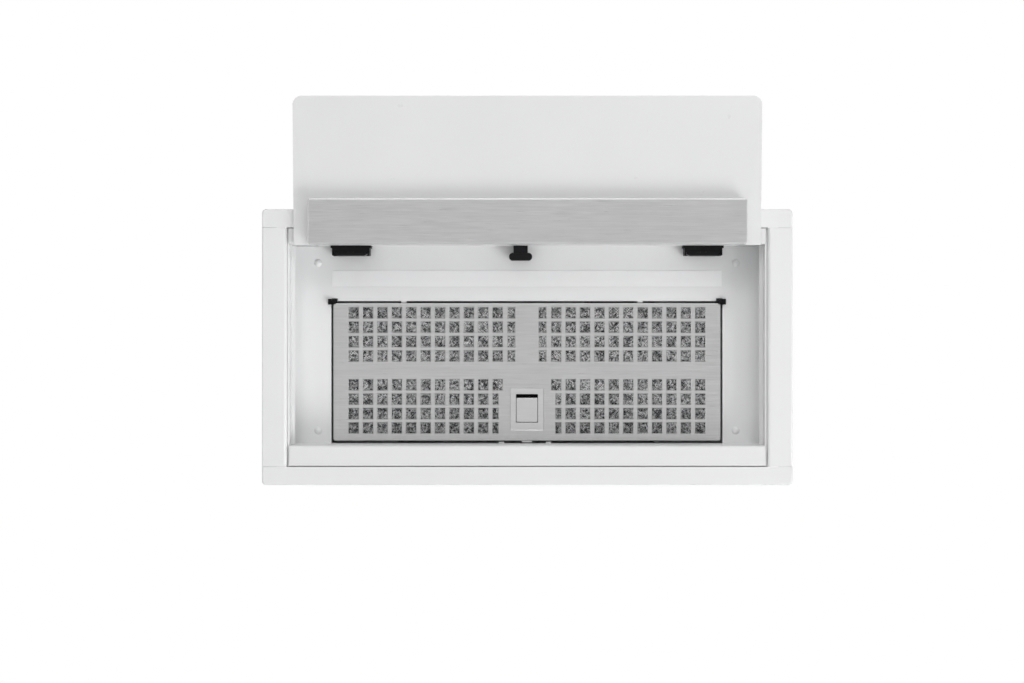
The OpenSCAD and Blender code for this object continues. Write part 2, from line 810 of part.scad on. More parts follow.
module speed_knob() {
  y0 = front_y + 0.4;
  bar_y = y0 + knob_stem_l;
  r = knob_d / 2;
  color(black) translate([-knob_x, 0, 0]) {
    block([-knob_neck, front_y - tray_t - 8, knob_z0], [knob_neck, y0, knob_z0 + knob_neck_h]);
    block([-knob_neck - 3, front_y - tray_t - 10, knob_z0 - 1.5],
          [knob_neck + 3, front_y - tray_t - 6, knob_z0 + knob_neck_h + 1.5]);
    block([-stem_w / 2, y0, sw_z + 1], [stem_w / 2, bar_y + 0.5, sw_z + 14]);
    translate([0, bar_y + r, sw_z + 2.5]) linear_extrude(12) {
      square([knob_w - knob_d, knob_d], center = true);
      for (x = [-1, 1]) translate([x * (knob_w - knob_d) / 2, 0]) circle(r);
    }
  }
}

// Filter: perforated plate with an upturned rim
function column_x(n) = hole_side + n * hole_pitch;
column_n = floor((filter_w / 2 - hole_side - hole_w / 2 - 6) / hole_pitch) + 1;

module hole_row(y, row) {
  under_latch = row > blank_row + 1;
  inner = hole_side - hole_w / 2 + (under_latch ? 4.9 : 0);
  both_sides() {
    for (n = [1:column_n - 1])
      translate([column_x(n) - hole_w / 2, y - hole_d / 2]) square([hole_w, hole_d]);
    translate([inner, y - hole_d / 2]) square([hole_side + hole_w / 2 - inner, hole_d]);
    if (row < blank_row) translate([narrow_x - narrow_w / 2, y - hole_d / 2]) square([narrow_w, hole_d]);
  }
}

module lug_notch() {
  both_sides() block([lug_x0, filter_y0 - 1, filter_z - 2],
                     [filter_w, hinge_y + lug_r, filter_z + filter_h + 2]);
}

module latch_notch(margin) {
  block([-latch_w / 2 + 3 - margin, latch_y0 + 3 - margin, filter_z - 1],
        [latch_w / 2 - 3 + margin, latch_y1 - 3 + margin, filter_z + filter_h + 1]);
  block([-bolt_half - 1, latch_y1 - 10, filter_z + filter_t + 0.5],
        [bolt_half + 1, filter_y1 + 1, filter_z + filter_h + 1]);
}

module filter_plate() {
  mid_y = (filter_y0 + filter_y1) / 2;
  rim = 4.5;
  color(steel) difference() {
    translate([0, mid_y, filter_z]) soft_plate(filter_w, filter_d, rim, filter_r, filter_t + 0.2);
    translate([0, mid_y, filter_z + filter_t])
      soft_plate(filter_w - 2 * filter_t, filter_d - 2 * filter_t, rim, filter_r - filter_t, 0.2);
    translate([0, 0, filter_z - 1]) linear_extrude(filter_t + 2)
      for (i = [0:row_n - 1]) if (i != blank_row) hole_row(filter_y0 + hole_front + i * hole_pitch, i);
    lug_notch();
    latch_notch(0);
  }
}

// Layered wire mesh, here as one thin sheet
module filter_mesh() {
  w = filter_w - 2 * filter_t - 0.4;
  d = filter_d - 2 * filter_t - 0.4;
  color("#7d8083") difference() {
    translate([0, (filter_y0 + filter_y1) / 2, filter_z + filter_t])
      rounded_block(w, d, mesh_t, filter_r - filter_t);
    lug_notch();
    latch_notch(0.3);
  }
}

// Cassette frame over the mesh, with cross bars
module filter_frame() {
  w = filter_w - 2 * filter_t - 0.4;
  d = filter_d - 2 * filter_t - 0.4;
  z0 = filter_z + filter_t + mesh_t;
  mid_y = (filter_y0 + filter_y1) / 2;
  bars = 8;
  color(steel) difference() {
    union() {
      difference() {
        translate([0, mid_y, z0]) rounded_block(w, d, filter_z + filter_h - z0, filter_r - filter_t);
        translate([0, mid_y, z0 - 1]) rounded_block(w - 2 * band_w, d - 2 * band_w, filter_h + 2, 1);
      }
      for (i = [1:bars]) {
        x = -w / 2 + i * w / (bars + 1);
        if (abs(x) > latch_w / 2) block([x - 3, mid_y - d / 2 + 1, filter_z + filter_h - 1.2],
                                        [x + 3, mid_y + d / 2 - 1, filter_z + filter_h]);
      }
    }
    lug_notch();
    latch_notch(0.3);
  }
}

// Black corner lugs with hinge pins, on the filter
module filter_lugs() {
  color(black) both_sides() {
    translate([0, hinge_y, hinge_z]) {
      rod_x(lug_x0, lug_w, lug_r);
      rod_x(lug_x0 + 1, lug_w - 1 + hook_w, hinge_pin_r);
      block([lug_x0, 0, -lug_r], [lug_x1, lug_r, filter_h - 1.5]);
    }
  }
}

// Black hooks on the tray that hold the hinge pins
module filter_hooks() {
  color(black) both_sides() difference() {
    block([hook_x0, hinge_y - 3.2, hinge_z - lug_r], [hook_x0 + hook_w, hinge_y + 3.2, plate_z]);
    translate([0, hinge_y, hinge_z]) rod_x(hook_x0 - 1, hook_w + 2, hinge_pin_r + pin_fit);
  }
}

// Latch case: raised frame under the plate, body above it, well for the button
module latch_case() {
  well_half = button_w / 2 + fit;
  latch_rim = 3.2;
  color(steel) difference() {
    union() {
      block([-latch_w / 2, latch_y0, filter_z - 1], [latch_w / 2, latch_y1, filter_z]);
      block([-latch_w / 2 + latch_rim, latch_y0 + latch_rim, filter_z - 1],
            [latch_w / 2 - latch_rim, latch_y1 - latch_rim, filter_z + filter_h]);
    }
    block([-well_half, latch_y0 + latch_margin, filter_z - 2],
          [well_half, button_y1 + 0.4, filter_z + 6.6]);
    block([-bolt_half - fit, button_y1 - 1, bolt_z0 - fit],
          [bolt_half + fit, latch_y1 + 1, bolt_z1 + fit]);
    translate([0, latch_y0 + latch_margin + 1, spring_z])
      rotate([90, 0, 0]) cylinder(h = 4, r = spring_r + 0.8);
  }
}

// Latch button with its finger pull and bolt
module latch_button() {
  z1 = filter_z + 6.2;
  color(steel) difference() {
    union() {
      block([-button_w / 2, button_y0, filter_z - 1.4], [button_w / 2, button_y1, z1]);
      block([-bolt_half, button_y1 - 1, bolt_z0], [bolt_half, rear_y - fit, bolt_z1]);
    }
    translate([0, button_y0 + 4.5, spring_z]) rotate([90, 0, 0]) cylinder(h = 5.5, r = spring_r + 0.8);
  }
}

// Coil spring between the latch case and the button: wire of six sides, eight rings a turn
spring_turns = 6;
spring_rings = 8;
wire_sides = 6;

module latch_spring() {
  y0 = latch_y0 + latch_margin - 3 + fit + spring_wire;
  y1 = button_y0 + 4.5 - fit - spring_wire;
  n = spring_turns * spring_rings;
  rings = [
    for (i = [0:n], k = [0:wire_sides - 1])
      let (a = i * 360 / spring_rings, b = k * 360 / wire_sides, r = spring_r + spring_wire * cos(b))
        [r * cos(a), y0 + (y1 - y0) * i / n + spring_wire * sin(b), spring_z + r * sin(a)]
  ];
  walls = [
    for (i = [0:n - 1], k = [0:wire_sides - 1], half = [0, 1])
      let (p = i * wire_sides + k, q = i * wire_sides + (k + 1) % wire_sides)
        half == 0 ? [p, q, q + wire_sides] : [p, q + wire_sides, p + wire_sides]
  ];
  ends = [
    for (k = [1:wire_sides - 2], last = [0, 1])
      let (p = last * n * wire_sides)
        last == 0 ? [p, p + k + 1, p + k] : [p, p + k, p + k + 1]
  ];
  color(zinc) polyhedron(rings, concat(walls, ends));
}

// Lower casing: four walls and a top with a well for the blower
module lower_casing() {
  bead_z = 66;
  bead_half = 225;
  color(zinc) difference() {
    union() {
      block([-low_x, -low_y, low_z], [low_x, low_y, low_h]);
      for (m = [0, 1]) mirror([0, m, 0]) translate([0, low_y, bead_z])
        rotate([0, 90, 0]) upright_bead(-bead_half, bead_half);
    }
    block([-low_x + case_t, -low_y + case_t, low_z - 1], [low_x - case_t, low_y - case_t, low_h - case_t]);
    block([-well_x, -well_y, low_h - 5], [well_x, well_y, low_h + 5]);
    at_frame_screws() rod_x(-3, 6, screw_r + pin_fit);
    at_foot_screws() translate([0, 0, low_h - 2]) cylinder(h = 4, r = screw_r + pin_fit);
    at_cabinet_brackets() translate([0, 0, bracket_screw_z]) rod_x(-3, 6, screw_r + pin_fit);
  }
}

// Posts under the lower casing's top that take the tray screws
module casing_posts() {
  color(zinc) for (x = [-screw_x, screw_x], y = screw_ys) translate([x, y, plate_top]) difference() {
    cylinder(h = low_h - case_t - plate_top, r = post_r);
    translate([0, 0, -1]) cylinder(h = tray_screw_l + 6, r = screw_r + pin_fit);
  }
}

// Brackets that stand on the cabinet board, screwed to the casing's sides
bracket_screw_z = board_t + 30;

module at_cabinet_brackets() {
  both_sides() for (y = [-cab_y, cab_y]) translate([low_x, y, 0]) children();
}

module cabinet_brackets() {
  color(zinc) at_cabinet_brackets() difference() {
    union() {
      block([0, -bracket_w / 2, board_t], [bracket_t, bracket_w / 2, bracket_top]);
      block([0, -bracket_w / 2, board_t], [frame_w / 2 - low_x - 2, bracket_w / 2, board_t + bracket_t]);
      for (y = [-bracket_w / 2, bracket_w / 2 - bracket_t])
        translate([bracket_t, y, board_t + bracket_t]) rotate([90, 0, 0]) mirror([0, 0, 1])
          linear_extrude(bracket_t) polygon([[0, 0], [12, 0], [0, 26]]);
    }
    translate([cab_out, 0, board_t - 1]) cylinder(h = bracket_t + 2, r = cab_r);
    translate([0, 0, bracket_screw_z]) rod_x(-1, bracket_t + 2, screw_r + pin_fit);
  }
}

module bracket_screws() {
  color(zinc) at_cabinet_brackets() translate([bracket_t, 0, bracket_screw_z])
    rotate([0, 90, 0]) screw_up(4, 2.4, 7);
}

// Upper casing round the blower, with a foot flange, and its lid
foot_screws_y = [-90, 0, 90];
foot_out = 14;
low_foot_y = up_d + 5;
wall_beads_x = [-105, -35, 35, 105];
wall_beads_y = [-64, 0, 64];
lid_screws_x = [-90, 90];
lid_screws_y = [-60, 60];

module at_foot_screws() {
  for (y = foot_screws_y) translate([up_w + foot_out / 2, y, 0]) children();
}

// Puts children at the lid's screws, running out along +X from the upper casing's face
module at_lid_screws() {
  z = top_z - lid_lip / 2;
  both_sides() for (y = lid_screws_y) translate([up_w, y, z]) children();
  for (m = [0, 1], x = lid_screws_x) mirror([0, m, 0]) translate([x, up_d, z]) rotate(90) children();
}

// Half-round pressed bead with round ends, upright on a wall in the plane y = 0
module upright_bead(z0, z1) {
  r = 5;
  sunk = 3.4;
  intersection() {
    translate([0, -sunk, z0]) {
      cylinder(h = z1 - z0, r = r);
      sphere(r, $fn = 32);
      translate([0, 0, z1 - z0]) sphere(r, $fn = 32);
    }
    block([-r, 0, z0 - r], [r, r, z1 + r]);
  }
}

module upper_casing() {
  bead_z = low_h + 24;
  bead_top = top_z - lid_lip - 14;
  color(zinc) difference() {
    union() {
      block([-up_w, -up_d, low_h], [up_w, up_d, top_z]);
      block([-up_w, -low_foot_y, low_h], [up_w + foot_out, low_foot_y, low_h + case_t]);
      for (x = wall_beads_x, m = [0, 1])
        mirror([0, m, 0]) translate([x, up_d, 0]) upright_bead(bead_z, bead_top);
      for (y = wall_beads_y) translate([up_w, y, 0]) rotate(-90) upright_bead(bead_z, bead_top);
    }
    block([-up_w + case_t, -up_d + case_t, low_h - 1], [up_w - case_t, up_d - case_t, top_z + 1]);
    at_foot_screws() translate([0, 0, low_h - 1]) cylinder(h = case_t + 2, r = screw_r + pin_fit);
    at_lid_screws() rod_x(-3, 6, screw_r + pin_fit);
  }
}

module casing_lid() {
  color(zinc) difference() {
    block([-up_w - case_t, -up_d - case_t, top_z - lid_lip], [up_w + case_t, up_d + case_t, top_z + case_t]);
    block([-up_w, -up_d, top_z - lid_lip - 1], [up_w, up_d, top_z]);
    translate([0, outlet_y, top_z - 1]) cylinder(h = case_t + 2, r = duct_in - 1, $fn = 96);
    at_duct_screws() translate([0, 0, top_z - 1]) cylinder(h = case_t + 2, r = screw_r + pin_fit);
    at_lid_screws() rod_x(-3, 6, screw_r + pin_fit);
  }
}

duct_screw = 60;

module at_duct_screws() {
  for (x = [-duct_screw, duct_screw], y = [-duct_screw, duct_screw])
    translate([x, outlet_y + y, 0]) children();
}

// Screws of the duct collar, the lid and the upper casing's foot
module casing_screws() {
  color(zinc) {
    at_duct_screws() translate([0, 0, duct_z + duct_foot_t]) screw_up(3.6, 2.2, 6);
    at_foot_screws() translate([0, 0, low_h + case_t]) screw_up(3.6, 2.2, 6);
    at_lid_screws() translate([case_t, 0, 0]) rotate([0, 90, 0]) screw_up(3.6, 2.2, 5);
  }
}

// Blower housing: a spiral in two halves that meet in the middle
tongue_a = 60;
spiral_n = 40;
function spiral_r(phi) = scroll_r0 + (scroll_r1 - scroll_r0) * phi / (360 - tongue_a);
function spiral(inset) = [
  for (i = [0:spiral_n])
    let (phi = i * (360 - tongue_a) / spiral_n, r = spiral_r(phi) - inset)
      [r * cos(tongue_a + phi), r * sin(tongue_a + phi)]
];

module scroll_outline(inset, top) {
  polygon(concat(spiral(inset), [[scroll_r1 - inset, top], [outlet_y0 + inset, top],
                                 [outlet_y0 + inset, scroll_r0 * sin(tongue_a)]]));
}

module blower_half(side) {
  color("#8f9499") mirror([side < 0 ? 1 : 0, 0, 0]) translate([0, fan_y, fan_z]) difference() {
    union() {
      along_x(scroll_half) difference() {
        scroll_outline(0, scroll_top);
        scroll_outline(scroll_t, scroll_top + 1);
      }
      translate([scroll_half - scroll_t, 0, 0]) along_x(scroll_t) scroll_outline(0, scroll_top);
      rod_x(scroll_half - 1, 4, inlet_r + 3);
    }
    rod_x(0, scroll_half + 5, inlet_r);
    at_bushes() rod_x(scroll_half - 5, 10, screw_r + pin_fit);
  }
}

module at_bushes() {
  for (a = bush_angles) rotate([a, 0, 0]) translate([0, bush_ring, 0]) children();
}

// Double-sided impeller with forward-curved blades
module impeller() {
  blade_in = fan_r - 12;
  blade_t = 1.2;
  curve_r = 9;
  color("#4a4d52") translate([0, fan_y, fan_z]) difference() {
    union() {
      translate([-fan_half, 0, 0]) along_x(2 * fan_half) for (i = [0:blade_n - 1])
        rotate(i * 360 / blade_n) translate([blade_in + 6, curve_r - 2.2]) intersection() {
          difference() {
            circle(curve_r + blade_t / 2, $fn = 32);
            circle(curve_r - blade_t / 2, $fn = 32);
          }
          translate([-6, -curve_r - 2]) square([12, curve_r]);
        }
      for (x = [-fan_half, fan_half - 3]) translate([x, 0, 0]) along_x(3) difference() {
        circle(fan_r, $fn = 96);
        circle(blade_in + 1, $fn = 96);
      }
      rod_x(-1.5, 3, fan_r - 1);
      rod_x(-14, 28, 13);
    }
    rod_x(-20, 40, shaft_r);
  }
}

module motor_shaft() {
  color("#c8cacc") translate([0, fan_y, fan_z]) rod_x(-20, motor_x + motor_l - 4 + 20, shaft_r - shaft_fit);
}

motor_fins = 12;

module motor() {
  color("#6f7478") translate([0, fan_y, fan_z]) difference() {
    union() {
      rod_x(motor_x, motor_l, motor_r);
      rod_x(motor_x - 6, 7, 12);
      rod_x(motor_x + motor_l - 1, 6, 14);
      for (i = [0:motor_fins - 1]) rotate([i * 360 / motor_fins, 0, 0])
        block([motor_x + 8, -1.5, motor_r - 1], [motor_x + motor_l - 8, 1.5, motor_r + 2.5]);
    }
    rod_x(motor_x - 8, motor_l + 6, shaft_r + 0.05);
  }
}

module motor_bracket() {
  color(zinc) translate([0, fan_y, fan_z]) difference() {
    union() {
      rod_x(bracket_x, 2, motor_r + 2);
      for (a = bush_angles) rotate([a, 0, 0]) block([bracket_x, 0, -6], [bracket_x + 2, bush_ring, 6]);
      at_bushes() rod_x(bracket_x, 2, 8);
    }
    rod_x(bracket_x - 1, 4, 12 + fit);
    at_bushes() rod_x(bracket_x - 1, 4, screw_r + pin_fit);
  }
}

module motor_bushes() {
  color("#202124") translate([0, fan_y, fan_z]) at_bushes() difference() {
    rod_x(scroll_half, bracket_x - scroll_half, bush_r);
    rod_x(scroll_half - 1, bracket_x - scroll_half + 2, screw_r + pin_fit);
  }
}

module motor_screws() {
  color(zinc) translate([0, fan_y, fan_z]) at_bushes() {
    rod_x(scroll_half - scroll_t - 2, bracket_x + 2 - scroll_half + scroll_t + 2, screw_r);
    rod_x(bracket_x + 2, 2.4, 4);
  }
}

// Run capacitor, clipped to the upper casing's left wall
cap_r = 15;
cap_l = 56;
cap_y = 84;
cap_z = 170;

module capacitor() {
  color("#e9e9e6") translate([-up_w + case_t + cap_r + 1.4, cap_y, cap_z]) {
    cylinder(h = cap_l, r = cap_r);
    for (y = [-5, 5]) translate([-0.4, y - 3, cap_l - 1]) cube([0.8, 6, 9]);
  }
}

module capacitor_clip() {
  color(zinc) translate([-up_w + case_t + cap_r + 1.4, cap_y, cap_z + 18]) difference() {
    union() {
      cylinder(h = 16, r = cap_r + 1.2);
      block([-cap_r - 1.4, -26, 0], [-cap_r, 26, 16]);
    }
    translate([0, 0, -1]) cylinder(h = 18, r = cap_r + 0.05);
    block([cap_r - 4, -8, -1], [cap_r + 4, 8, 17]);
  }
}

// Duct collar with a square foot and a ledge inside, and two damper flaps on pins that rest on the ledge
module duct_collar() {
  color("#9aa0a4") translate([0, outlet_y, duct_z]) difference() {
    union() {
      translate([-duct_foot, -duct_foot, 0]) cube([2 * duct_foot, 2 * duct_foot, duct_foot_t]);
      cylinder(h = duct_h, r = duct_r, $fn = 96);
    }
    translate([0, 0, -1]) cylinder(h = duct_h + 2, r = duct_in - ledge_in, $fn = 96);
    translate([0, 0, -1]) cylinder(h = ledge_z + 1, r = duct_in, $fn = 96);
    translate([0, 0, ledge_z + ledge_h]) cylinder(h = duct_h, r = duct_in, $fn = 96);
    for (y = [-damper_y, damper_y])
      translate([0, y, damper_z]) rod_x(-duct_r - 2, 2 * duct_r + 4, damper_pin_r + pin_fit);
    for (x = [-duct_screw, duct_screw], y = [-duct_screw, duct_screw])
      translate([x, y, -1]) cylinder(h = duct_foot_t + 2, r = screw_r + pin_fit);
  }
}

module damper_pins() {
  half = sqrt(duct_r * duct_r - damper_y * damper_y) - 0.2;
  color(zinc) translate([0, outlet_y, duct_z + damper_z])
    for (y = [-damper_y, damper_y]) translate([0, y, 0]) rod_x(-half, 2 * half, damper_pin_r);
}

// Half disc on a sleeve; the flap on the +Y side, or its mirror image
module damper_flap(side) {
  flap_r = duct_in - 1.5;
  color("#7f8589") translate([0, outlet_y, duct_z + damper_z]) mirror([0, side < 0 ? 1 : 0, 0])
  difference() {
    union() {
      translate([0, 0, -flap_t / 2]) linear_extrude(flap_t) intersection() {
        circle(flap_r, $fn = 96);
        translate([-flap_r, damper_y]) square([2 * flap_r, flap_r]);
      }
      translate([0, damper_y, 0]) rod_x(-flap_r + 4, 2 * flap_r - 8, sleeve_r);
    }
    translate([0, damper_y, 0]) rod_x(-flap_r - 1, 2 * flap_r + 2, damper_pin_r + pin_fit);
  }
}

// Terminal box beside the upper casing, its cover, terminals and cable gland
gland_z = box_z + 22;
gland_y = box_y0 + 30;
gland_r = 9;

module terminal_box() {
  color("#3b3e42") difference() {
    block([box_x0, box_y0, box_z], [box_x1, box_y0 + box_l, box_z + box_h]);
    block([box_x0 + box_t, box_y0 + box_t, box_z + box_t],
          [box_x1 - box_t, box_y0 + box_l - box_t, box_z + box_h + 1]);
    translate([0, gland_y, gland_z]) rod_x(box_x0 - 1, box_t + 2, gland_r - 2);
  }
}

module terminal_cover() {
  z0 = box_z + box_h;
  color("#45484c") difference() {
    union() {
      block([box_x0, box_y0, z0], [box_x1, box_y0 + box_l, z0 + 2.4]);
      block([box_x0 + box_t + fit, box_y0 + box_t + fit, z0 - 4],
            [box_x1 - box_t - fit, box_y0 + box_l - box_t - fit, z0]);
    }
    block([box_x0 + box_t + 2, box_y0 + box_t + 2, z0 - 5],
          [box_x1 - box_t - 2, box_y0 + box_l - box_t - 2, z0]);
  }
}

terminal_n = 5;
terminal_pitch = 10;

module terminal_block() {
  x0 = box_x0 + 16;
  y0 = box_y0 + box_l / 2 - terminal_n * terminal_pitch / 2 + 12;
  color("#dcdcd6") difference() {
    union() {
      block([x0, y0, box_z + box_t], [x0 + 18, y0 + terminal_n * terminal_pitch, box_z + box_t + 9]);
      for (i = [0:terminal_n - 1])
        block([x0 + 2, y0 + i * terminal_pitch + 1, box_z + box_t + 8],
              [x0 + 16, y0 + (i + 1) * terminal_pitch - 1, box_z + box_t + 15]);
    }
    for (i = [0:terminal_n - 1]) translate([x0 + 9, y0 + (i + 0.5) * terminal_pitch, box_z + box_t + 9])
      cylinder(h = 10, r = 2.4);
  }
}

module cable_gland() {
  color("#2a2c2f") translate([0, gland_y, gland_z]) difference() {
    union() {
      rod_x(box_x0 - 12, 12, gland_r, $fn = 6);
      rod_x(box_x0 - 20, 9, gland_r - 2.4);
      rod_x(box_x0 - 1, box_t + 8, gland_r - 2 - 0.05);
    }
    rod_x(box_x0 - 21, box_t + 30, cable_r);
  }
}

trim_front_rail();
trim_rear_rail();
trim_band(-1);  // trim_left_band
trim_band(1);  // trim_right_band
frame_corner_plates();
frame_screws();
inner_tray();
tray_screws();
guide(-1);  // guide_left
guide(1);  // guide_right
visor_panel();
visor_grip();
visor_arm(-1);  // visor_arm_left
visor_arm(1);  // visor_arm_right
visor_screws();
lamp_diffuser();
led_board();
lamp_housing();
switch_case(-switch_x);  // lamp_switch_case
switch_rocker(-switch_x);  // lamp_switch_rocker
switch_case(switch_x);  // fan_switch_case
switch_rocker(switch_x);  // fan_switch_rocker
speed_switch_case();
speed_knob();
filter_plate();
filter_mesh();
filter_frame();
filter_lugs();
filter_hooks();
latch_case();
latch_button();
latch_spring();
lower_casing();
casing_posts();
upper_casing();
casing_lid();
casing_screws();
cabinet_brackets();
bracket_screws();
blower_half(-1);  // blower_left
blower_half(1);  // blower_right
impeller();
motor_shaft();
motor();
motor_bracket();
motor_bushes();
motor_screws();
capacitor();
capacitor_clip();
duct_collar();
damper_pins();
damper_flap(-1);  // damper_front
damper_flap(1);  // damper_rear
terminal_box();
terminal_cover();
terminal_block();
cable_gland();
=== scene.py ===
"""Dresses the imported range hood: materials, softened edges, filter plate and mesh, camera, lights and floor.

The hood is seen from below with its visor out, as in the photograph. Sizes are in metres, in the frame of the
CAD model: the cabinet's seat plane is z = 0, the room side is -Y and the duct points along +Z.
"""

import json
import math

import bmesh
import bpy
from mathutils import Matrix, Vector


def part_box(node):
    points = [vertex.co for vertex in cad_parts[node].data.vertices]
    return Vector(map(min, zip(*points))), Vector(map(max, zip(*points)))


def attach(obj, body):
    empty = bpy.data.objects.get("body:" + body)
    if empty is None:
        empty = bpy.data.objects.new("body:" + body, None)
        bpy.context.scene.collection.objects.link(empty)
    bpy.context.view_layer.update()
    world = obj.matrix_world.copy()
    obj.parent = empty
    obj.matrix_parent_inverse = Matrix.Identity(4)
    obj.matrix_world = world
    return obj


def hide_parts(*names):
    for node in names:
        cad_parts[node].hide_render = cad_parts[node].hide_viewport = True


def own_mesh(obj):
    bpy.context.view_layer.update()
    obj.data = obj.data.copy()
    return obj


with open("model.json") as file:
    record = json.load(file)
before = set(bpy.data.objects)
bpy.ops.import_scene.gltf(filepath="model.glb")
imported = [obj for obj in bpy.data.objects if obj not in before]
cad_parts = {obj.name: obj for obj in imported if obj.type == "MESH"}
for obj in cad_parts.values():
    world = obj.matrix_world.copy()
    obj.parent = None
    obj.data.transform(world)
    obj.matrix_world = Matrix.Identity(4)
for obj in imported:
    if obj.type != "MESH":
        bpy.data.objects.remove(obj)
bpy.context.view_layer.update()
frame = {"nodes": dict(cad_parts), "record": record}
nodes = frame["nodes"]
MM = 0.001
WELD_GAP = 0.01 * MM
SHARP_ANGLE = 35


# Materials

class Look:
    """One procedural material: a node tree with short helpers for textures, colours and bumps."""

    def __init__(self, name, colour, roughness, metallic=0.0):
        self.material = bpy.data.materials.new(name)
        self.material.use_nodes = True
        self.tree = self.material.node_tree
        self.shader = self.tree.nodes["Principled BSDF"]
        self.shader.inputs["Metallic"].default_value = metallic
        self.shader.inputs["Roughness"].default_value = roughness
        self.shader.inputs["Base Color"].default_value = (*colour, 1)
        self.material.diffuse_color = (*colour, 1)
        self.colour = colour
        self.place = self.add("ShaderNodeTexCoord").outputs["Object"]

    def add(self, kind, **settings):
        made = self.tree.nodes.new(kind)
        for key, value in settings.items():
            setattr(made, key, value)
        return made

    def link(self, start, end):
        self.tree.links.new(start, end)

    def stretched(self, scale):
        """The object's own coordinates, scaled along each axis."""
        mapping = self.add("ShaderNodeMapping")
        mapping.inputs["Scale"].default_value = scale
        self.link(self.place, mapping.inputs["Vector"])
        return mapping.outputs["Vector"]

    def noise(self, scale, detail=3.0, rough=0.5, stretch=(1, 1, 1)):
        """Smooth random values from 0 to 1, with this many waves to the metre."""
        texture = self.add("ShaderNodeTexNoise")
        texture.inputs["Scale"].default_value = scale
        texture.inputs["Detail"].default_value = detail
        texture.inputs["Roughness"].default_value = rough
        self.link(self.stretched(stretch), texture.inputs["Vector"])
        return texture.outputs["Fac"]

    def cells(self, scale, feature="F1", output="Color"):
        """Random cells, with this many to the metre."""
        texture = self.add("ShaderNodeTexVoronoi", feature=feature)
        texture.inputs["Scale"].default_value = scale
        self.link(self.stretched((1, 1, 1)), texture.inputs["Vector"])
        return texture.outputs[output]

    def ramp(self, value, low, high, start=0.3, end=0.7):
        """Turns a value into a colour between low and high."""
        made = self.add("ShaderNodeValToRGB")
        made.color_ramp.elements[0].position = start
        made.color_ramp.elements[1].position = end
        made.color_ramp.elements[0].color = (*low, 1)
        made.color_ramp.elements[1].color = (*high, 1)
        self.link(value, made.inputs["Fac"])
        return made.outputs["Color"]

    def spread(self, value, low, high, start=0.25, end=0.75):
        """Turns a value into a number between low and high."""
        made = self.add("ShaderNodeMapRange")
        made.inputs["From Min"].default_value = start
        made.inputs["From Max"].default_value = end
        made.inputs["To Min"].default_value = low
        made.inputs["To Max"].default_value = high
        self.link(value, made.inputs["Value"])
        return made.outputs["Result"]

    def mix(self, a, b, share):
        """Mixes two colours; share is a number or a value."""
        made = self.add("ShaderNodeMix", data_type="RGBA")
        for source, name in ((a, "A_Color"), (b, "B_Color")):
            socket = next(s for s in made.inputs if s.identifier == name)
            if isinstance(source, tuple):
                socket.default_value = (*source, 1)
            else:
                self.link(source, socket)
        factor = next(s for s in made.inputs if s.identifier == "Factor_Float")
        if isinstance(share, (int, float)):
            factor.default_value = share
        else:
            self.link(share, factor)
        return next(s for s in made.outputs if s.identifier == "Result_Color")

    def tint(self, value, swing, start=0.3, end=0.7):
        """Lets the base colour swing darker and lighter by this share, following a value."""
        low = tuple(c * (1 - swing) for c in self.colour)
        high = tuple(min(1, c * (1 + swing)) for c in self.colour)
        return self.ramp(value, low, high, start, end)

    def paint(self, colour):
        self.link(colour, self.shader.inputs["Base Color"])

    def gloss(self, value, low, high, start=0.25, end=0.75):
        self.link(self.spread(value, low, high, start, end), self.shader.inputs["Roughness"])

    def bump(self, height, depth, strength):
        """Adds a bump of this depth in metres."""
        made = self.add("ShaderNodeBump")
        made.inputs["Strength"].default_value = strength
        made.inputs["Distance"].default_value = depth
        self.link(height, made.inputs["Height"])
        self.link(made.outputs["Normal"], self.shader.inputs["Normal"])


def enamel(name, colour, roughness=0.36, swing=0.012):
    """Baked enamel: even colour with faint clouds, and the soft ripple of sprayed paint."""
    look = Look(name, colour, roughness)
    clouds = look.noise(9, 4)
    look.paint(look.tint(clouds, swing))
    look.gloss(look.noise(60, 3), roughness - 0.05, roughness + 0.06)
    look.bump(look.noise(420, 2), 0.00006, 0.25)
    look.shader.inputs["Coat Weight"].default_value = 0.15
    look.shader.inputs["Coat Roughness"].default_value = 0.2
    return look.material


def brushed(name, colour, roughness=0.34, swing=0.1, painted_shade_from=None):
    """Steel brushed left to right: long fine scratches in colour, gloss and bump.

    Above a given height the piece is painted flat black, not metallic and with little shine: painted shade, so
    that a slot in it looks dark inside.
    """
    fine_scale = (40, 1300, 1300)
    broad_scale = (14, 420, 420)
    black = (0.004, 0.004, 0.004)
    fade = 0.2 * MM
    look = Look(name, colour, roughness, 1.0)
    scratches = look.noise(1, 3, 0.6, fine_scale)
    bands = look.noise(1, 2, 0.5, broad_scale)
    both = look.mix(look.tint(scratches, swing), look.tint(bands, swing * 0.8), 0.45)
    # Painted shade: black, not metallic and with little shine above the given height, fading in over 0.2 mm
    if painted_shade_from is not None:
        height = look.add("ShaderNodeSeparateXYZ")
        look.link(look.place, height.inputs["Vector"])
        painted_shade_share = look.spread(height.outputs["Z"], 0, 1, painted_shade_from, painted_shade_from + fade)
        both = look.mix(both, black, painted_shade_share)
        look.link(look.spread(painted_shade_share, 1, 0, 0, 1), look.shader.inputs["Metallic"])
        look.link(look.spread(painted_shade_share, 0.5, 0.05, 0, 1), look.shader.inputs["Specular IOR Level"])
    look.paint(both)
    look.gloss(scratches, roughness - 0.08, roughness + 0.1)
    look.bump(scratches, 0.00004, 0.35)
    return look.material


def galvanised(name, colour):
    """Zinc-dipped sheet: large pale crystals with dull and bright facets."""
    look = Look(name, colour, 0.52, 0.7)
    crystals = look.cells(75)
    small = look.cells(190)
    shade = look.add("ShaderNodeRGBToBW")
    look.link(look.mix(crystals, small, 0.35), shade.inputs["Color"])
    look.paint(look.tint(shade.outputs["Val"], 0.16, 0.2, 0.85))
    look.gloss(shade.outputs["Val"], 0.44, 0.62, 0.2, 0.8)
    look.bump(look.noise(240, 3), 0.00005, 0.3)
    return look.material


